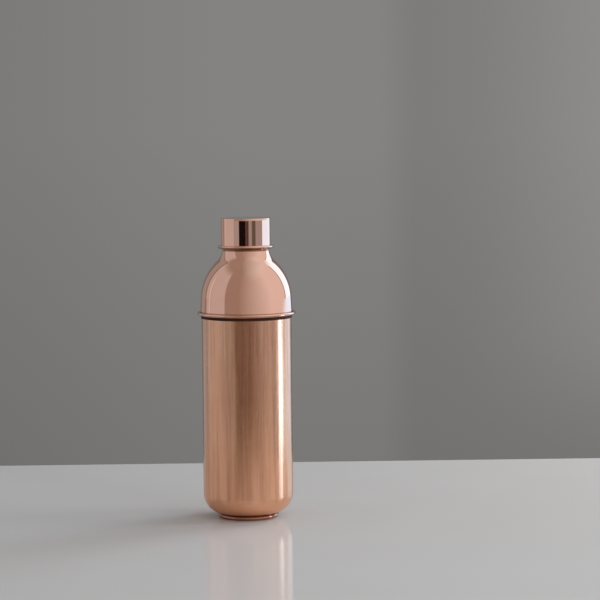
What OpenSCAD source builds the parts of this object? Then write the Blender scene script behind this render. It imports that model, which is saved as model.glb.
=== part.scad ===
// Growler in drawn copper sheet: an insulated body, a lift-off shoulder and a lift-off cap.
// Millimetres, +Z up, origin at the middle of the face that stands on the table.

/* [Body] */
// Outer diameter of the body
body_d = 87.6; // [72:0.1:108]
// Height of the rim of the body above the table
rim_h = 208; // [150:0.1:260]
// Sheet thickness of the outer shell
shell_t = 0.8; // [0.6:0.01:1.2]
// Rounding of the lower corner of the outer shell
corner_r = 19; // [14:0.1:21]
// Sheet thickness of the inner vessel
liner_t = 0.6; // [0.4:0.01:1]
// Empty space between the outer shell and the inner vessel
vacuum_gap = 3.6; // [2.4:0.1:5]
// Rounding of the lower corner of the inner vessel
liner_corner_r = 12; // [8:0.1:16]

/* [Foot] */
// How far the foot ring stands in from the side of the body
foot_inset = 14.5; // [13:0.1:18]
// Outer radius of the rolled foot ring
foot_curl_r = 2.1; // [1.8:0.01:2.6]
// Sheet thickness of the base
base_t = 0.8; // [0.6:0.01:1]
// How far the rolled foot is flattened where it stands
foot_flat = 0.1; // [0.05:0.01:0.2]
// Height of the recess under the base
recess_h = 5.4; // [5:0.1:7]
// Width of the getter ring on the base, measured over its outside
getter_d = 18; // [14:0.1:24]
// Height of the getter ring
getter_h = 1.6; // [1:0.1:2]
// Space left above the getter ring
getter_gap = 2.4; // [1:0.1:4]
// Diameter of the button that seals the base
plug_button_d = 7; // [5:0.1:9]
// Diameter of the hole in the base under the button
plug_hole_d = 2.4; // [1.5:0.1:3]
// How far the button stands out
plug_button_h = 0.8; // [0.5:0.05:0.85]

/* [Shoulder] */
// Sheet thickness of the shoulder
shoulder_t = 0.5; // [0.4:0.01:0.7]
// Slip fit between the skirt of the shoulder and the rim of the body
skirt_clearance = 0.4; // [0.2:0.01:0.6]
// How far the skirt reaches down over the body from the rim
skirt_lap = 10.1; // [8:0.1:30]
// Lean of the skirt, in degrees, which widens it towards its bead
skirt_lean = 2.9; // [1:0.1:4]
// Outer radius of the rolled bead on the skirt
skirt_bead_r = 1.6; // [1.4:0.01:2.2]
// Height of the middle of the dome's curve above the rim
dome_rise = 4.4; // [3:0.1:8]
// Radius of the dome in side view
dome_r = 52; // [42:0.1:62]
// Radius of the hollow curve from the dome into the neck
flare_r = 13; // [10:0.1:17]
// Outer diameter of the neck
neck_d = 44.5; // [37:0.1:54]
// Straight length of the neck
neck_h = 26.7; // [22:0.1:32]
// Radius of the rounded pouring lip
lip_r = 0.7; // [0.5:0.01:0.9]
// Width of the sealing ring inside the shoulder
seal_w = 4.8; // [4:0.1:6]
// Height of the sealing ring inside the shoulder
seal_h = 6; // [5:0.1:8]
// Rounding of the sealing ring's inner top edge
seal_round = 1.2; // [0.5:0.1:1.5]
// How far the grip band shows below the bead of the shoulder
band_show = 3; // [2:0.1:5]
// How far the top of the grip band stays below the rim of the body
band_drop = 4; // [3:0.1:6]

/* [Cap] */
// Sheet thickness of the cap
cap_t = 0.5; // [0.4:0.01:0.7]
// Slip fit between the cap and the pouring lip
cap_clearance = 0.35; // [0.15:0.01:0.5]
// Rounding of the top edge of the cap
cap_corner_r = 1.2; // [1:0.1:2.5]
// Outer radius of the rolled bead on the cap
cap_bead_r = 1.7; // [1:0.01:2]
// How far the cap reaches down from the pouring lip
cap_reach = 26; // [22:0.1:27]
// Thickness of the flange of the stopper
flange_t = 3; // [2.5:0.1:4]
// How far the stopper reaches down below its flange
plug_depth = 18; // [16:0.1:19]
// Gap between the stopper and the bore of the neck
plug_gap = 2.2; // [2:0.1:3]
// Wall thickness of the hollow stopper
plug_wall = 2.4; // [2.2:0.1:3]
// Depth of the groove that holds the stopper seal
groove_depth = 1; // [0.6:0.1:1.2]
// Length of the groove that holds the stopper seal
groove_h = 10.5; // [10:0.1:11]
// How far below the flange the groove starts
groove_drop = 3; // [2.5:0.1:3.5]
// Number of sealing ribs on the stopper
rib_count = 3; // [2:1:3]
// Radius of a sealing rib
rib_r = 1.2; // [1:0.01:1.4]
// Plain stretch left beyond the end ribs
rib_margin = 0.5; // [0.3:0.1:0.8]

/* [Fits] */
// Gap left between a seal and what it closes on
seat_gap = 0.1; // [0.05:0.01:0.3]
// Gap left between a seal and the metal it runs in
seal_clearance = 0.2; // [0.15:0.01:0.4]
// Gap left where two sheets are joined side by side
join_gap = 0.05; // [0.03:0.01:0.1]

/* [Hidden] */
$fn = 96;
eps = 0.01;
over = 1;
curl_shut = 178;
foot_open = 110;
skirt_open = 122;
cap_open = 125;
body_r = body_d / 2;

// Base and inner vessel
foot_r = body_r - foot_inset;
foot_curl_c = foot_r - foot_curl_r;
foot_curl_z = foot_curl_r - foot_flat;
base_wall_r = foot_curl_c - foot_curl_r;
shell_floor = foot_curl_z + foot_curl_r + seat_gap;
base_top = recess_h + base_t;
getter_r = getter_d / 2;
liner_r = body_r - shell_t - vacuum_gap;
liner_floor = base_top + getter_h + getter_gap;
mouth_r = liner_r - liner_t;
rim_curl_r = (body_r - mouth_r) / 2;
rim_curl_z = rim_h - rim_curl_r;

// Shoulder
curve_overlap = 0.005;
skirt_in = body_r + skirt_clearance;
skirt_rise = tan(skirt_lean);
dome_z = rim_h + dome_rise;
dome_foot_z = dome_z + dome_r * sin(skirt_lean);
dome_foot_r = skirt_in + shoulder_t / cos(skirt_lean) - (dome_foot_z - rim_h) * skirt_rise;
dome_c = dome_foot_r - dome_r * cos(skirt_lean);
skirt_bead_z = rim_h - skirt_lap + skirt_bead_r;
skirt_bead_c = skirt_in + (rim_h - skirt_bead_z) * skirt_rise + skirt_bead_r;
neck_r = neck_d / 2;
bore_r = neck_r - shoulder_t;
flare_c = neck_r + flare_r;
flare_z = dome_z + sqrt(pow(dome_r + flare_r - curve_overlap, 2) - pow(flare_c - dome_c, 2));
flare_root = dome_z - dome_c * (flare_z - dome_z) / (flare_c - dome_c);
neck_top = flare_z + neck_h;
lip_c = bore_r + lip_r;
band_z = rim_h - skirt_lap - band_show;
band_top = rim_h - band_drop;

// Cap and stopper
cap_in = lip_c + lip_r + cap_clearance;
cap_r = cap_in + cap_t;
cap_bead_c = cap_in + cap_bead_r;
cap_bead_z = neck_top - cap_reach + cap_bead_r;
flange_z = neck_top + seat_gap;
cap_ceiling = flange_z + flange_t;
cap_top = cap_ceiling + cap_t;
flange_r = cap_in - seal_clearance;
plug_r = bore_r - plug_gap;
plug_bottom = flange_z - plug_depth;
well_corner_r = 1;
groove_z = flange_z - groove_drop - groove_h;
groove_r = plug_r - groove_depth;
sleeve_r = bore_r - seal_clearance - rib_r;

copper = [0.78, 0.5, 0.36];
steel = [0.7, 0.71, 0.72];
silicone = [0.2, 0.2, 0.21];
plastic = [0.88, 0.87, 0.83];
solder = [0.3, 0.34, 0.36];

// Half section of a cup that opens upward, with a rounded lower corner
module cup_section(r, z_low, z_high, corner) {
    translate([0, z_low + corner])
        square([r, z_high - z_low - corner]);
    translate([0, z_low])
        square([r - corner, corner + eps]);
    translate([r - corner, z_low + corner])
        circle(corner);
}

// Half section of a cup that opens downward, with a rounded upper corner
module lid_section(r, z_low, z_high, corner) {
    translate([0, z_low])
        square([r, z_high - z_low - corner]);
    translate([0, z_high - corner - eps])
        square([r - corner, corner + eps]);
    translate([r - corner, z_high - corner])
        circle(corner);
}

// Half section of a rolled sheet edge, left open from one angle to another
module curl_section(r, z, curl_r, t, open_from, open_to) {
    reach = 3 * curl_r;
    translate([r, z])
        difference() {
            circle(curl_r);
            circle(curl_r - t);
            polygon([
                [0, 0],
                [reach * cos(open_from), reach * sin(open_from)],
                [reach * cos(open_to), reach * sin(open_to)]
            ]);
        }
}

// Half section of everything inside the shoulder's outer face, drawn in by an inset.
// The skirt, dome and hollow curve overlap by a hair, so that their outlines cross cleanly.
module shoulder_section(inset, z_low, z_high) {
    foot_reach = dome_r - inset - curve_overlap;
    foot_r = dome_c + foot_reach * cos(skirt_lean);
    foot_z = dome_z + foot_reach * sin(skirt_lean);
    polygon([
        [0, z_low],
        [foot_r + (foot_z - z_low) * skirt_rise, z_low],
        [foot_r, foot_z],
        [0, foot_z]
    ]);
    intersection() {
        translate([dome_c, dome_z])
            circle(dome_r - inset);
        translate([0, dome_z])
            square([body_d, dome_r]);
    }
    difference() {
        polygon([[0, flare_root], [flare_c, flare_z], [0, flare_z]]);
        translate([flare_c, flare_z])
            circle(flare_r + inset);
    }
    translate([0, flare_z])
        square([neck_r - inset, z_high - flare_z]);
}

module body_shell() {
    color(copper)
        rotate_extrude()
            difference() {
                cup_section(body_r, shell_floor, rim_curl_z, corner_r);
                cup_section(body_r - shell_t, shell_floor + shell_t, rim_curl_z + over, corner_r - shell_t);
                square([base_wall_r + base_t + join_gap, shell_floor + 2 * shell_t]);
            }
}

module body_liner() {
    color(steel)
        rotate_extrude() {
            difference() {
                cup_section(liner_r, liner_floor, rim_curl_z, liner_corner_r);
                cup_section(mouth_r, liner_floor + liner_t, rim_curl_z + over, liner_corner_r - liner_t);
            }
            difference() {
                translate([mouth_r + rim_curl_r, rim_curl_z])
                    circle(rim_curl_r);
                translate([mouth_r + rim_curl_r, rim_curl_z])
                    circle(rim_curl_r - liner_t);
                translate([0, rim_curl_z - body_r])
                    square([2 * body_r, body_r]);
            }
        }
}

module base_cup() {
    wall_out = base_wall_r + base_t;
    color(copper)
        rotate_extrude()
            difference() {
                union() {
                    curl_section(foot_curl_c, foot_curl_z, foot_curl_r, base_t, foot_open, curl_shut);
                    difference() {
                        lid_section(wall_out, foot_curl_z, base_top, 2 * base_t);
                        lid_section(base_wall_r, foot_curl_z - over, recess_h, base_t);
                    }
                }
                translate([0, -over])
                    square([body_r, over]);
                translate([0, recess_h - over])
                    square([plug_hole_d / 2, base_t + 2 * over]);
            }
}

module vacuum_plug() {
    button_r = plug_button_d / 2;
    stem_r = plug_hole_d / 2 - join_gap;
    color(solder)
        rotate_extrude() {
            translate([0, recess_h - plug_button_h])
                square([button_r - plug_button_h, plug_button_h]);
            intersection() {
                translate([button_r - plug_button_h, recess_h])
                    circle(plug_button_h);
                translate([button_r - plug_button_h, recess_h - plug_button_h])
                    square(plug_button_h);
            }
            translate([0, recess_h])
                square([stem_r, base_t]);
        }
}

module getter() {
    color(solder)
        rotate_extrude()
            translate([getter_r / 2, base_top])
                square([getter_r / 2, getter_h]);
}

// Sleeve on the body that fills the slip fit, so that it clears the skirt at every height
module grip_band() {
    color(silicone)
        rotate_extrude()
            translate([body_r + join_gap, band_z])
                square([skirt_clearance - join_gap, band_top - band_z]);
}

module shoulder_shell() {
    color(copper)
        rotate_extrude() {
            difference() {
                shoulder_section(0, skirt_bead_z, neck_top - lip_r);
                shoulder_section(shoulder_t, skirt_bead_z - over, neck_top + over);
            }
            curl_section(skirt_bead_c, skirt_bead_z, skirt_bead_r, shoulder_t, skirt_open, curl_shut);
            translate([lip_c, neck_top - lip_r])
                circle(lip_r);
        }
}

module shoulder_seal() {
    seal_in = skirt_in - seal_w;
    color(silicone)
        rotate_extrude()
            difference() {
                intersection() {
                    shoulder_section(shoulder_t + seat_gap, rim_h + seat_gap, neck_top);
                    translate([seal_in, rim_h + seat_gap])
                        square([seal_w, seal_h]);
                }
                difference() {
                    translate([seal_in - over, rim_h + seat_gap + seal_h - seal_round])
                        square(seal_round + over);
                    translate([seal_in + seal_round, rim_h + seat_gap + seal_h - seal_round])
                        circle(seal_round);
                }
            }
}

module cap_shell() {
    color(copper)
        rotate_extrude() {
            difference() {
                lid_section(cap_r, cap_bead_z, cap_top, cap_corner_r);
                lid_section(cap_in, cap_bead_z - over, cap_ceiling, cap_corner_r - cap_t);
            }
            curl_section(cap_bead_c, cap_bead_z, cap_bead_r, cap_t, cap_open, curl_shut);
        }
}

module stopper_core() {
    color(plastic)
        rotate_extrude()
            difference() {
                union() {
                    lid_section(flange_r, flange_z, cap_ceiling, cap_corner_r);
                    cup_section(plug_r, plug_bottom, flange_z + over, plug_wall);
                }
                cup_section(plug_r - plug_wall, plug_bottom + plug_wall, cap_top, well_corner_r);
                translate([groove_r, groove_z])
                    square([groove_depth + over, groove_h]);
            }
}

module stopper_seal() {
    rib_pitch = (groove_h - 2 * rib_r - 2 * rib_margin) / (rib_count - 1);
    color(silicone)
        rotate_extrude() {
            translate([groove_r, groove_z])
                square([sleeve_r - groove_r, groove_h]);
            for (i = [0 : rib_count - 1])
                translate([sleeve_r, groove_z + rib_margin + rib_r + i * rib_pitch])
                    circle(rib_r);
        }
}

body_shell();
body_liner();
base_cup();
vacuum_plug();
getter();
grip_band();
shoulder_shell();
shoulder_seal();
cap_shell();
stopper_core();
stopper_seal();
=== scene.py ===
"""Looks of the copper growler: fine lathed shells over the CAD frame, materials, stage, light and camera."""

import math

import bmesh
import bpy
from mathutils import Matrix, Vector


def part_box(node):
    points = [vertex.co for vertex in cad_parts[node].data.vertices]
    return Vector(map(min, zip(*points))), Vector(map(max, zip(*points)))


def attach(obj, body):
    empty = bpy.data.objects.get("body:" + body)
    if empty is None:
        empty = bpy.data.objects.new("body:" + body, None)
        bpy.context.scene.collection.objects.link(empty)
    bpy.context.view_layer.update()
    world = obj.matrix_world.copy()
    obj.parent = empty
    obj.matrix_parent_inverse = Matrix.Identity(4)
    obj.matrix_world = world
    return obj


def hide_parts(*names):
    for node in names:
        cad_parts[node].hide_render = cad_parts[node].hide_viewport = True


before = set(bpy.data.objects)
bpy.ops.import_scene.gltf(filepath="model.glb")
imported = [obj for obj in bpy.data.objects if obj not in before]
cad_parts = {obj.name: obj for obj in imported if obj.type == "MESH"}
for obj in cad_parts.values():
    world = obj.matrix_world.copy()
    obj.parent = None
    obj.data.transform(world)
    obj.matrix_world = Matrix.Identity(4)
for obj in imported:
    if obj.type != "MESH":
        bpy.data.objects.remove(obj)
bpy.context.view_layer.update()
scene = bpy.context.scene
scene.view_settings.view_transform = "Standard"

# Sizes of the drawn sheet, in metres. They are the CAD part's own, except for two that follow the
# photo's outline more closely: FLARE_R (0.013 in the CAD) and CAP_CORNER_R (0.0012 in the CAD).
SHELL_T = 0.0008
SHELL_FLOOR = 0.0042
CORNER_R = 0.019
BASE_T = 0.0008
FOOT_CURL_R = 0.0021
FOOT_FLAT = 0.0001
JOIN_GAP = 0.00005
PLUG_HOLE_R = 0.0012
SHOULDER_T = 0.0005
SKIRT_LEAN = math.radians(2.9)
SKIRT_BEAD_R = 0.0016
DOME_R = 0.052
DOME_FOOT_RISE = 0.015531
FLARE_R = 0.020
NECK_R = 0.02225
LIP_R = 0.0007
CAP_T = 0.0005
CAP_CORNER_R = 0.0007
CAP_BEAD_R = 0.0017

# Angles, in degrees past the outermost point of a roll, at which it stops short of its own sheet
FOOT_OPEN = 110
SKIRT_OPEN = 122
CAP_OPEN = 125

# The lathe: faces round the axis, the bend that gets a sharp edge, and the radius that counts as none
STEPS_ROUND = 240
SHARP_TURN = math.radians(32)
ON_AXIS = 1e-7


# Outlines in the (radius, height) plane

def reach(node):
    """The least that a round CAD node reaches from the axis, so that the outline stays inside its box."""
    low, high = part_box(node)
    return min(-low.x, -low.y, high.x, high.y)


def arc(centre, radius, start, end, step):
    """Points on a circle from one angle to another, in degrees, both ends included."""
    count = max(2, math.ceil(abs(end - start) / step))
    angles = [math.radians(start + (end - start) * i / count) for i in range(count + 1)]
    return [(centre[0] + radius * math.cos(a), centre[1] + radius * math.sin(a)) for a in angles]


def straight(start, end, count):
    """Points on a line without its two ends, so that long faces are divided."""
    return [
        (start[0] + (end[0] - start[0]) * i / count, start[1] + (end[1] - start[1]) * i / count)
        for i in range(1, count)
    ]


def curl(centre, radius, thickness, open_at):
    """A rolled edge: along the inside of the roll to its free end and back along the outside."""
    end = 360 + open_at
    return arc(centre, radius - thickness, 180, end, step=8) + arc(centre, radius, end, 180, step=6)


def body_outline():
    radius, rim = reach("body_shell"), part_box("body_shell")[1].z
    hole = reach("base_cup") - 2 * FOOT_CURL_R + BASE_T + JOIN_GAP
    corner = (radius - CORNER_R, SHELL_FLOOR + CORNER_R)

    def corner_start(r):
        """The angle at which the rounded corner meets the hole for the base."""
        return -math.degrees(math.acos((hole - corner[0]) / r))

    outside = arc(corner, CORNER_R, corner_start(CORNER_R), 0, step=2)
    outside += straight(outside[-1], (radius, rim), count=40) + [(radius, rim)]
    inner_r = CORNER_R - SHELL_T
    inside = [(radius - SHELL_T, rim)] + arc(corner, inner_r, 0, corner_start(inner_r), step=4)
    return outside, inside


def base_outline():
    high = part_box("base_cup")[1]
    centre = (reach("base_cup") - FOOT_CURL_R, FOOT_CURL_R - FOOT_FLAT)
    wall = centre[0] - FOOT_CURL_R
    top, ceiling = high.z, high.z - BASE_T
    bend = (wall - BASE_T, ceiling - BASE_T)
    upper = [(PLUG_HOLE_R, top)] + straight((PLUG_HOLE_R, top), (bend[0], top), count=6)
    upper += arc(bend, 2 * BASE_T, 90, 0, step=10)
    roll = [(r, max(z, 0.0)) for r, z in curl(centre, FOOT_CURL_R, BASE_T, FOOT_OPEN)]
    under = arc(bend, BASE_T, 0, 90, step=10)
    under += straight((bend[0], ceiling), (PLUG_HOLE_R, ceiling), count=6) + [(PLUG_HOLE_R, ceiling)]
    return roll, under + upper


def shoulder_outline():
    low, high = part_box("shoulder_shell")
    bead = (reach("shoulder_shell") - SKIRT_BEAD_R, low.z + SKIRT_BEAD_R)
    skirt_r = bead[0] - SKIRT_BEAD_R + SHOULDER_T / math.cos(SKIRT_LEAN)
    foot = (skirt_r - DOME_FOOT_RISE * math.tan(SKIRT_LEAN), bead[1] + DOME_FOOT_RISE)
    dome = (foot[0] - DOME_R * math.cos(SKIRT_LEAN), foot[1] - DOME_R * math.sin(SKIRT_LEAN))
    flare_out = NECK_R + FLARE_R - dome[0]
    flare = (NECK_R + FLARE_R, dome[1] + math.sqrt((DOME_R + FLARE_R) ** 2 - flare_out ** 2))
    meet = math.degrees(math.atan2(flare[1] - dome[1], flare[0] - dome[0]))
    lean = math.degrees(SKIRT_LEAN)
    lip = (NECK_R - SHOULDER_T + LIP_R, high.z - LIP_R)
    lip_start = -math.degrees(math.acos((NECK_R - lip[0]) / LIP_R))

    def face(inset):
        """The skirt, dome, hollow curve and neck from the bead upward, drawn in by an inset."""
        skirt_low = (bead[0] - SKIRT_BEAD_R + SHOULDER_T - inset, bead[1])
        points = arc(dome, DOME_R - inset, lean, meet, step=0.75)
        points += arc(flare, FLARE_R + inset, meet - 180, -180, step=1.5)[1:]
        skirt = straight(skirt_low, points[0], count=10)
        return skirt + points + straight(points[-1], (NECK_R - inset, lip[1]), count=8)

    outside = face(0) + arc(lip, LIP_R, lip_start, 180, step=10)
    inside = face(SHOULDER_T)[::-1]
    roll = curl(bead, SKIRT_BEAD_R, SHOULDER_T, SKIRT_OPEN)
    return roll[::-1] + outside, inside


def cap_outline():
    low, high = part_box("cap_shell")
    bead = (reach("cap_shell") - CAP_BEAD_R, low.z + CAP_BEAD_R)
    wall = bead[0] - CAP_BEAD_R + CAP_T
    corner = (wall - CAP_CORNER_R, high.z - CAP_CORNER_R)
    side = straight((wall, bead[1]), (wall, corner[1]), count=12)
    top = arc(corner, CAP_CORNER_R, 0, 90, step=5)
    top += straight((corner[0], high.z), (0, high.z), count=16) + [(0, high.z)]
    under = [(0, high.z - CAP_T)] + arc(corner, CAP_CORNER_R - CAP_T, 90, 0, step=10)
    inner_side = straight((wall - CAP_T, corner[1]), (wall - CAP_T, bead[1]), count=8)
    roll = curl(bead, CAP_BEAD_R, CAP_T, CAP_OPEN)
    return roll[::-1] + side + top, under + inner_side


def lathe(name, outside, inside):
    """Turns a closed outline about +Z. Faces outside get material slot 0, faces inside get slot 1."""
    outline = outside + inside
    count = len(outline)
    turns = [2 * math.pi * j / STEPS_ROUND for j in range(STEPS_ROUND)]
    bm = bmesh.new()
    rings = []
    for r, z in outline:
        if r < ON_AXIS:
            rings.append([bm.verts.new((0, 0, z))] * STEPS_ROUND)
        else:
            rings.append([bm.verts.new((r * math.cos(t), r * math.sin(t), z)) for t in turns])
    for i in range(count):
        a, b = rings[i], rings[(i + 1) % count]
        for j in range(STEPS_ROUND):
            k = (j + 1) % STEPS_ROUND
            corners = list(dict.fromkeys((a[j], a[k], b[k], b[j])))
            if len(corners) < 3:
                continue
            face = bm.faces.new(corners)
            face.smooth = True
            face.material_index = 0 if i < len(outside) - 1 or i == count - 1 else 1
    for i in range(count):
        p, q, s = (Vector(outline[(i + d) % count]) for d in (-1, 0, 1))
        if (q - p).length and (s - q).length and abs((q - p).angle_signed(s - q)) > SHARP_TURN:
            for edge in {e for v in rings[i] for e in v.link_edges if e.other_vert(v) in rings[i]}:
                edge.smooth = False
    bmesh.ops.recalc_face_normals(bm, faces=bm.faces)
    mesh = bpy.data.meshes.new(name)
    bm.to_mesh(mesh)
    bm.free()
    piece = bpy.data.objects.new(name, mesh)
    scene.collection.objects.link(piece)
    return piece


# Node helpers

class Nodes:
    """Short forms for building one node tree."""

    def __init__(self, tree):
        self.tree = tree
        tree.nodes.clear()

    def add(self, kind, settings=None, **inputs):
        node = self.tree.nodes.new(kind)
        for key, value in (settings or {}).items():
            setattr(node, key, value)
        for key, value in inputs.items():
            self.put(node.inputs[key], value)
        return node

    def put(self, socket, value):
        """Links a socket to another one, or gives it a plain value."""
        if isinstance(value, bpy.types.NodeSocket):
            self.tree.links.new(value, socket)
        else:
            socket.default_value = value

    def fill(self, sockets, values):
        for socket, value in zip(sockets, values):
            self.put(socket, value)

    def math(self, operation, *values):
        node = self.add("ShaderNodeMath", {"operation": operation})
        self.fill(node.inputs, values)
        return node.outputs[0]

    def ramp(self, value, low, high, to_low=0.0, to_high=1.0, kind="SMOOTHSTEP"):
        """Goes from one level to another while the value goes from low to high, and stays there."""
        node = self.add("ShaderNodeMapRange", {"interpolation_type": kind, "clamp": True})
        self.fill(node.inputs, (value, low, high, to_low, to_high))
        return node.outputs[0]

    def band(self, value, low, high, soft, top=1.0):
        """The top level between low and high, 0 outside them, with soft ends."""
        up = self.ramp(value, low - soft, low + soft)
        down = self.ramp(value, high - soft, high + soft, top, 0.0)
        return self.math("MULTIPLY", up, down)

    def blend(self, factor, a, b):
        """Two numbers mixed; the sockets used are the node's factor and its float pair."""
        node = self.add("ShaderNodeMix", {"data_type": "FLOAT"})
        self.fill((node.inputs[0], node.inputs[2], node.inputs[3]), (factor, a, b))
        return node.outputs[0]

    def tint(self, factor, a, b):
        """Two colours mixed; the sockets used are the node's factor and its colour pair."""
        node = self.add("ShaderNodeMix", {"data_type": "RGBA"})
        self.fill((node.inputs[0], node.inputs[6], node.inputs[7]), (factor, a, b))
        return node.outputs[2]

    def noise(self, point, scale, detail, rough, stretch=(1, 1, 1)):
        at = self.add("ShaderNodeMapping", Vector=point, Scale=stretch)
        node = self.add("ShaderNodeTexNoise", Vector=at.outputs[0], Scale=scale)
        self.put(node.inputs["Detail"], detail)
        self.put(node.inputs["Roughness"], rough)
        return node.outputs["Fac"]


def colour(r, g, b):
    return (r, g, b, 1.0)


def new_material(name):
    material = bpy.data.materials.new(name)
    material.use_nodes = True
    nodes = Nodes(material.node_tree)
    shader = nodes.add("ShaderNodeBsdfPrincipled")
    out = nodes.add("ShaderNodeOutputMaterial")
    nodes.put(out.inputs["Surface"], shader.outputs[0])
    point = nodes.add("ShaderNodeTexCoord").outputs["Object"]
    return material, nodes, shader, point


def bump(nodes, shader, height, distance, strength):
    node = nodes.add("ShaderNodeBump", Height=height, Distance=distance, Strength=strength)
    nodes.put(shader.inputs["Normal"], node.outputs[0])


# Materials. Heights and depths are in metres.

LINE_DEPTH = 0.00002
QUARTER_TURN = 0.25
# A tarnish brown used for painted shade at the beads and the foot ring
PAINTED_SHADE_BROWN = colour(0.20, 0.075, 0.035)
DRAW_MARK = colour(0.60, 0.27, 0.15)
# The heights between which the draw lines set in, above the rounded corner
DRAWN_FROM, DRAWN_FULL = 0.012, 0.026
# Painted shade in a tarnish brown under and beside the beads and on the foot ring: height from, to, softness
# and strength
BEAD_PAINTED_SHADE = (
    (0.2600, 0.26385, 0.0005, 0.85),
    (0.2008, 0.2016, 0.0003, 0.6),
    (0.1960, 0.1994, 0.0004, 0.5),
    (-0.001, 0.0046, 0.0004, 0.72),
)


def turned_metal(nodes, shader, anisotropy):
    """Makes the shader a metal that was turned and polished round the axis."""
    shader.inputs["Metallic"].default_value = 1.0
    shader.inputs["Anisotropic"].default_value = anisotropy
    shader.inputs["Anisotropic Rotation"].default_value = QUARTER_TURN
    tangent = nodes.add("ShaderNodeTangent", {"direction_type": "RADIAL", "axis": "Z"})
    nodes.put(shader.inputs["Tangent"], tangent.outputs[0])


def copper(name, light, deep, rough, spread, lines_high, anisotropy, draw_high=0.0, painted_shade=()):
    """Copper with slow colour clouds, polishing lines round the axis and handling marks.

    draw_high adds the draw lines along the axis, which the polish left on the body's wall. The last argument
    lists heights where shade is painted in a tarnish brown.
    """
    material, nodes, shader, point = new_material(name)
    turned_metal(nodes, shader, anisotropy)
    clouds = nodes.noise(point, scale=22.0, detail=5.0, rough=0.6)
    lines = nodes.noise(point, scale=60.0, detail=6.0, rough=0.7, stretch=(1, 1, 70))
    marks = nodes.noise(point, scale=420.0, detail=3.0, rough=0.5, stretch=(1, 1, 6))
    height_up = nodes.add("ShaderNodeSeparateXYZ", Vector=point).outputs[2]
    base = nodes.tint(nodes.ramp(nodes.blend(0.3, clouds, lines), 0.36, 0.64), deep, light)
    waves = nodes.math("ADD", lines, nodes.math("MULTIPLY", clouds, 2.0))
    relief = nodes.math("MULTIPLY", waves, lines_high)
    if draw_high:
        drawn = nodes.noise(point, scale=170.0, detail=6.0, rough=0.75, stretch=(1, 1, 0.03))
        on_wall = nodes.ramp(height_up, DRAWN_FROM, DRAWN_FULL)
        dark = nodes.ramp(drawn, 0.38, 0.58, to_low=0.55, to_high=0.0)
        base = nodes.tint(nodes.math("MULTIPLY", dark, on_wall), base, DRAW_MARK)
        draw_lines = nodes.math("MULTIPLY", nodes.math("MULTIPLY", drawn, on_wall), draw_high)
        relief = nodes.math("ADD", relief, draw_lines)
    # Painted shade in a tarnish brown at the listed heights, under and beside the beads and on the foot ring
    for low, high, soft, strength in painted_shade:
        base = nodes.tint(nodes.band(height_up, low, high, soft, strength), base, PAINTED_SHADE_BROWN)
    nodes.put(shader.inputs["Base Color"], base)
    wear = nodes.blend(0.5, nodes.ramp(marks, 0.35, 0.75), lines)
    nodes.put(shader.inputs["Roughness"], nodes.ramp(wear, 0.2, 0.8, rough - spread, rough + spread))
    bump(nodes, shader, relief, LINE_DEPTH, strength=1.0)
    return material


def brushed_steel():
    """Stainless steel drawn and brushed round the axis."""
    material, nodes, shader, point = new_material("brushed_steel")
    turned_metal(nodes, shader, anisotropy=0.6)
    lines = nodes.noise(point, scale=70.0, detail=6.0, rough=0.7, stretch=(1, 1, 60))
    clouds = nodes.noise(point, scale=30.0, detail=4.0, rough=0.5)
    tone = nodes.ramp(nodes.blend(0.4, lines, clouds), 0.35, 0.65)
    base = nodes.tint(tone, colour(0.42, 0.43, 0.44), colour(0.62, 0.62, 0.61))
    nodes.put(shader.inputs["Base Color"], base)
    nodes.put(shader.inputs["Roughness"], nodes.ramp(lines, 0.25, 0.75, to_low=0.24, to_high=0.40))
    bump(nodes, shader, lines, LINE_DEPTH, strength=0.25)
    return material


def moulded(name, light, deep, rough, grain, depth, specular=0.5):
    """A moulded or sintered surface: slow changes of tone and roughness over a fine grain."""
    material, nodes, shader, point = new_material(name)
    clouds = nodes.noise(point, scale=70.0, detail=4.0, rough=0.55)
    fine = nodes.noise(point, scale=grain, detail=3.0, rough=0.6)
    tone = nodes.blend(0.35, clouds, fine)
    nodes.put(shader.inputs["Base Color"], nodes.tint(nodes.ramp(tone, 0.35, 0.68), deep, light))
    nodes.put(shader.inputs["Roughness"], nodes.ramp(tone, 0.3, 0.7, rough - 0.08, rough + 0.1))
    shader.inputs["Specular IOR Level"].default_value = specular
    bump(nodes, shader, fine, depth, strength=0.5)
    return material


satin = copper(
    "copper_satin", colour(0.91, 0.485, 0.30), colour(0.87, 0.45, 0.268),
    rough=0.20, spread=0.03, lines_high=0.04, anisotropy=0.85, draw_high=7.0,
)
polished = copper(
    "copper_polished", colour(0.94, 0.55, 0.40), colour(0.91, 0.51, 0.36),
    rough=0.03, spread=0.008, lines_high=0.0015, anisotropy=0.2, painted_shade=BEAD_PAINTED_SHADE,
)
inside_copper = copper(
    "copper_inside", colour(0.80, 0.46, 0.31), colour(0.66, 0.35, 0.22),
    rough=0.36, spread=0.08, lines_high=0.2, anisotropy=0.5,
)
steel = brushed_steel()
silicone = moulded(
    "silicone", colour(0.045, 0.045, 0.047), colour(0.022, 0.022, 0.024),
    rough=0.55, grain=2600.0, depth=0.00003,
)
band_rubber = moulded(
    "band_rubber", colour(0.085, 0.026, 0.015), colour(0.050, 0.014, 0.008),
    rough=0.70, grain=2600.0, depth=0.00003, specular=0.15,
)
plastic = moulded(
    "moulded_plastic", colour(0.72, 0.70, 0.64), colour(0.62, 0.60, 0.54),
    rough=0.42, grain=1800.0, depth=0.00002,
)
solder = moulded(
    "glass_solder", colour(0.12, 0.135, 0.15), colour(0.06, 0.07, 0.08),
    rough=0.30, grain=900.0, depth=0.00006,
)
sintered = moulded(
    "getter_metal", colour(0.16, 0.16, 0.17), colour(0.07, 0.07, 0.075),
    rough=0.65, grain=3200.0, depth=0.00008,
)


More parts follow.
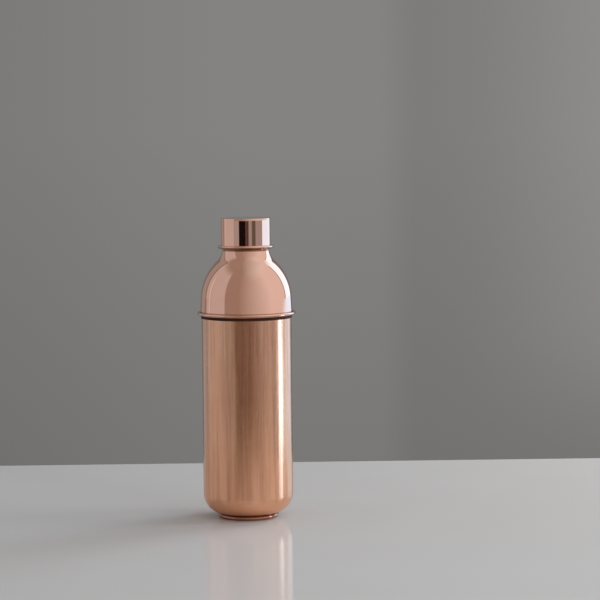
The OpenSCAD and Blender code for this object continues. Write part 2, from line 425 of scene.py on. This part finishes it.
# Shells that replace their CAD nodes

def shell(node, body, outline, materials):
    piece = lathe(node + "_sheet", *outline)
    for material in materials:
        piece.data.materials.append(material)
    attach(piece, body)
    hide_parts(node)


shell("body_shell", "body", body_outline(), [satin, inside_copper])
shell("base_cup", "body", base_outline(), [polished, inside_copper])
shell("shoulder_shell", "shoulder", shoulder_outline(), [polished, inside_copper])
shell("cap_shell", "cap", cap_outline(), [polished, inside_copper])

# CAD nodes that show as they are
KEPT_NODES = {
    "body_liner": steel,
    "vacuum_plug": solder,
    "getter": sintered,
    "grip_band": band_rubber,
    "shoulder_seal": silicone,
    "stopper_core": plastic,
    "stopper_seal": silicone,
}
for node_name, material in KEPT_NODES.items():
    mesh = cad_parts[node_name].data
    mesh.materials.clear()
    mesh.materials.append(material)


# Stage: a pale table top that ends behind and in front of the bottle, a hair under the foot

TABLE_LEFT, TABLE_RIGHT = -1.6, 0.45
TABLE_FRONT, TABLE_BACK = -0.43, 0.3375
TABLE_Z = -0.00002
TABLE_DEEP, TABLE_LIGHT = colour(0.703, 0.672, 0.640), colour(0.733, 0.702, 0.670)
TABLE_SMOOTHEST, TABLE_ROUGHEST = 0.07, 0.10
TABLE_IOR = 1.18


def table_top():
    mesh = bpy.data.meshes.new("table_top")
    corners = [
        (TABLE_LEFT, TABLE_FRONT, TABLE_Z), (TABLE_RIGHT, TABLE_FRONT, TABLE_Z),
        (TABLE_RIGHT, TABLE_BACK, TABLE_Z), (TABLE_LEFT, TABLE_BACK, TABLE_Z),
    ]
    mesh.from_pydata(corners, [], [(0, 1, 2, 3)])
    top = bpy.data.objects.new("table_top", mesh)
    scene.collection.objects.link(top)
    material, nodes, shader, point = new_material("pale_table")
    grain = nodes.noise(point, scale=9.0, detail=4.0, rough=0.5)
    nodes.put(shader.inputs["Base Color"], nodes.tint(grain, TABLE_DEEP, TABLE_LIGHT))
    rough = nodes.ramp(grain, 0.3, 0.7, TABLE_SMOOTHEST, TABLE_ROUGHEST)
    nodes.put(shader.inputs["Roughness"], rough)
    shader.inputs["IOR"].default_value = TABLE_IOR
    mesh.materials.append(material)


table_top()


# Light: a soft room, drawn in the world by direction. Angles are in degrees; azimuth 0 is in front of
# the bottle and 90 on its right, elevation 0 is level.

DEGREES = 180 / math.pi
ROOM_LEFT, ROOM_RIGHT = colour(0.343, 0.305, 0.29), colour(0.76, 0.78, 0.84)
ROOM_AZIMUTHS = (-20, 66)
CEILING_LEFT, CEILING_RIGHT = colour(0.34, 0.315, 0.295), colour(0.75, 0.83, 0.90)
CEILING_SPAN = (-0.15, 0.5)
CEILING_RISE = (40, 70)
# The wall behind the bottle, as the copper and the table mirror it
WALL = colour(0.205, 0.203, 0.198)
WALL_AZIMUTHS = (146, 150)
WALL_TOP = (40, 60)

# The body mirrors what lies below the first of these elevations, the cap what lies between the two,
# and the dome what lies above
BODY_EDGE, CAP_EDGE = -4.3, -1.6

# Panels, each painted over those before it: azimuth and elevation, both from, to and softness; colour
PANELS = (
    ((-150, -122, 2), (-60, 58, 6), (0.35, 0.36, 0.38)),  # left corner
    ((-150, -122, 2), (-60, BODY_EDGE, 0.8), (0.44, 0.55, 0.67)),  # left corner, low
    ((-121, -56, 1.5), (-50, 52, 9), (0.53, 0.55, 0.61)),  # left wall
    ((-121, -56, 1.5), (-50, BODY_EDGE, 0.8), (0.42, 0.53, 0.65)),  # left wall, low
    ((-150, -117, 3), (BODY_EDGE, CAP_EDGE, 0.5), (0.34, 0.34, 0.36)),  # left end of the cap
    ((-107, -103, 0.6), (BODY_EDGE, 28, 8), (0.72, 0.74, 0.80)),  # left gleam
    ((-102.5, -100.5, 0.6), (BODY_EDGE, 28, 8), (0.42, 0.41, 0.43)),  # left post
    ((-125, -122, 0.8), (-60, 58, 6), (0.20, 0.18, 0.17)),  # left edge
    ((-56, -31, 2), (-80, CAP_EDGE, 0.5), (0.37, 0.42, 0.47)),  # low left
    ((9, 84, 3), (-80, CAP_EDGE, 0.5), (0.35, 0.38, 0.43)),  # low right
    ((-31, 30, 4), (-80, BODY_EDGE, 0.8), (0.13, 0.10, 0.075)),  # far floor
    ((-31, 1, 2), (-5, CAP_EDGE, 0.4), (0.010, 0.006, 0.005)),  # low front
    ((1, 14, 3), (-5, CAP_EDGE, 0.4), (0.085, 0.055, 0.052)),  # low brown
    ((29, 47, 3), (-5, CAP_EDGE, 0.4), (0.13, 0.12, 0.11)),  # dark strip
    ((118, 150, 2), (-80, 45, 10), (1.15, 1.68, 2.2)),  # window
    ((115, 118, 0.8), (CAP_EDGE, 45, 1.0), (0.30, 0.28, 0.27)),  # window edge
    ((84, 150, 2), (BODY_EDGE, CAP_EDGE, 0.5), (0.95, 1.45, 2.08)),  # low window
    ((84, 150, 2), (-80, BODY_EDGE, 0.5), (0.8, 1.08, 1.48)),  # window sill
)

# The backdrop that the camera sees: angles across the view or up, and the levels of grey between them
LEFT_SPAN, LEFT_LEVELS = (-9, 1), (0.193, 0.231)
CORNER_SPAN = (3.3, 4.4)
RIGHT_SPAN, RIGHT_NEAR = (4.4, 11), 0.206
RIGHT_RISE, RIGHT_FAR = (-9, -5), (0.225, 0.279)
SHADE_RISE, SHADE_LEVELS = (-9, -0.4), (0.825, 1.0)
OUT_OF_VIEW = (25, 70)
WALL_GREEN, WALL_BLUE = 0.985, 0.96


def backdrop(nodes, x, y, elevation):
    """Two plain walls that meet in a soft corner, as the camera sees them, a little darker lower down."""
    across = nodes.math("MULTIPLY", nodes.math("ARCTAN2", x, y), DEGREES)
    left = nodes.ramp(across, *LEFT_SPAN, *LEFT_LEVELS)
    right_far = nodes.ramp(elevation, *RIGHT_RISE, *RIGHT_FAR)
    right = nodes.ramp(across, *RIGHT_SPAN, RIGHT_NEAR, right_far)
    level = nodes.blend(nodes.ramp(across, *CORNER_SPAN), left, right)
    shade = nodes.ramp(elevation, *SHADE_RISE, *SHADE_LEVELS, kind="LINEAR")
    level = nodes.math("MULTIPLY", level, shade)
    level = nodes.blend(nodes.ramp(nodes.math("ABSOLUTE", across), *OUT_OF_VIEW), level, WALL[0])
    green, blue = (nodes.math("MULTIPLY", level, share) for share in (WALL_GREEN, WALL_BLUE))
    return nodes.add("ShaderNodeCombineColor", Red=level, Green=green, Blue=blue).outputs[0]


def light_room():
    world = bpy.data.worlds.new("room")
    scene.world = world
    world.use_nodes = True
    nodes = Nodes(world.node_tree)
    direction = nodes.add("ShaderNodeTexCoord").outputs["Generated"]
    x, y, z = nodes.add("ShaderNodeSeparateXYZ", Vector=direction).outputs
    to_front = nodes.math("MULTIPLY", y, -1.0)
    azimuth = nodes.math("MULTIPLY", nodes.math("ARCTAN2", x, to_front), DEGREES)
    elevation = nodes.math("MULTIPLY", nodes.math("ARCSINE", z), DEGREES)
    room = nodes.tint(nodes.ramp(azimuth, *ROOM_AZIMUTHS, kind="LINEAR"), ROOM_LEFT, ROOM_RIGHT)
    ceiling = nodes.tint(nodes.ramp(x, *CEILING_SPAN, kind="LINEAR"), CEILING_LEFT, CEILING_RIGHT)
    room = nodes.tint(nodes.ramp(elevation, *CEILING_RISE), room, ceiling)
    for across, up, tone in PANELS:
        inside = nodes.math("MULTIPLY", nodes.band(azimuth, *across), nodes.band(elevation, *up))
        room = nodes.tint(inside, room, colour(*tone))
    behind = nodes.ramp(nodes.math("ABSOLUTE", azimuth), *WALL_AZIMUTHS)
    under_top = nodes.ramp(elevation, *WALL_TOP, to_low=1.0, to_high=0.0)
    room = nodes.tint(nodes.math("MULTIPLY", behind, under_top), room, WALL)
    seen = nodes.add("ShaderNodeLightPath").outputs["Is Camera Ray"]
    room = nodes.tint(seen, room, backdrop(nodes, x, y, elevation))
    background = nodes.add("ShaderNodeBackground", Color=room)
    out = nodes.add("ShaderNodeOutputWorld")
    nodes.put(out.inputs["Surface"], background.outputs[0])


light_room()

# Lamps: places and sizes in metres, power in watts
SOFT_SIZE, SOFT_TONE = (0.55, 0.5), (0.985, 0.99, 1.0)
SOFT_LAMPS = {
    "window_lamp": ((1.05, 0.71, 0.70), 4.9),
    "side_lamp": ((1.60, -0.02, 0.70), 6.4),
    "fill_lamp": ((0.80, -1.00, 0.38), 2.0),
}
STRIP_SIZE, STRIP_TONE = (0.096, 0.17), (0.42, 0.67, 1.0)
STRIP_AT, STRIP_POWER = Vector((0.50, 0.010, 0.085)), 0.238
STRIP_TURN = (math.radians(90), 0, math.radians(90))


def area_lamp(name, place, turn, size, tone, power):
    data = bpy.data.lights.new(name, "AREA")
    data.shape = "RECTANGLE"
    data.size, data.size_y = size
    data.energy = power
    data.color = tone
    lamp = bpy.data.objects.new(name, data)
    lamp.location = place
    lamp.rotation_euler = turn
    lamp.visible_camera = False
    scene.collection.objects.link(lamp)
    return lamp


def soft_lamp(name, place, power):
    """A large soft lamp for the table and the shadow; the copper mirrors the drawn room instead."""
    turn = (-place).to_track_quat("-Z", "Y").to_euler()
    area_lamp(name, place, turn, SOFT_SIZE, SOFT_TONE, power).visible_glossy = False


def strip_lamp():
    """A low soft strip that stands beside the table, for the narrow highlight down the body."""
    lamp = area_lamp("strip_lamp", STRIP_AT, STRIP_TURN, STRIP_SIZE, STRIP_TONE, STRIP_POWER)
    lamp.visible_diffuse = False


for lamp_name, (lamp_at, lamp_power) in SOFT_LAMPS.items():
    soft_lamp(lamp_name, Vector(lamp_at), lamp_power)
strip_lamp()


# Camera at the photo's place

CAMERA_AT = Vector((0.0, -2.1762, 0.3908))
CAMERA_YAW, CAMERA_PITCH, CAMERA_ROLL = (math.radians(a) for a in (1.371, 4.717, -0.524))
SENSOR_MM, LENS_MM = 36.0, 135.0


def place_camera():
    data = bpy.data.cameras.new("camera")
    data.sensor_width, data.lens = SENSOR_MM, LENS_MM
    camera = bpy.data.objects.new("camera", data)
    scene.collection.objects.link(camera)
    flat = math.cos(CAMERA_PITCH)
    ahead = Vector((math.sin(CAMERA_YAW) * flat, math.cos(CAMERA_YAW) * flat, -math.sin(CAMERA_PITCH)))
    level = Vector((math.cos(CAMERA_YAW), -math.sin(CAMERA_YAW), 0))
    up = level.cross(ahead)
    right = level * math.cos(CAMERA_ROLL) + up * math.sin(CAMERA_ROLL)
    top = up * math.cos(CAMERA_ROLL) - level * math.sin(CAMERA_ROLL)
    turn = Matrix((right, top, -ahead)).transposed().to_4x4()
    camera.matrix_world = Matrix.Translation(CAMERA_AT) @ turn
    scene.camera = camera


place_camera()
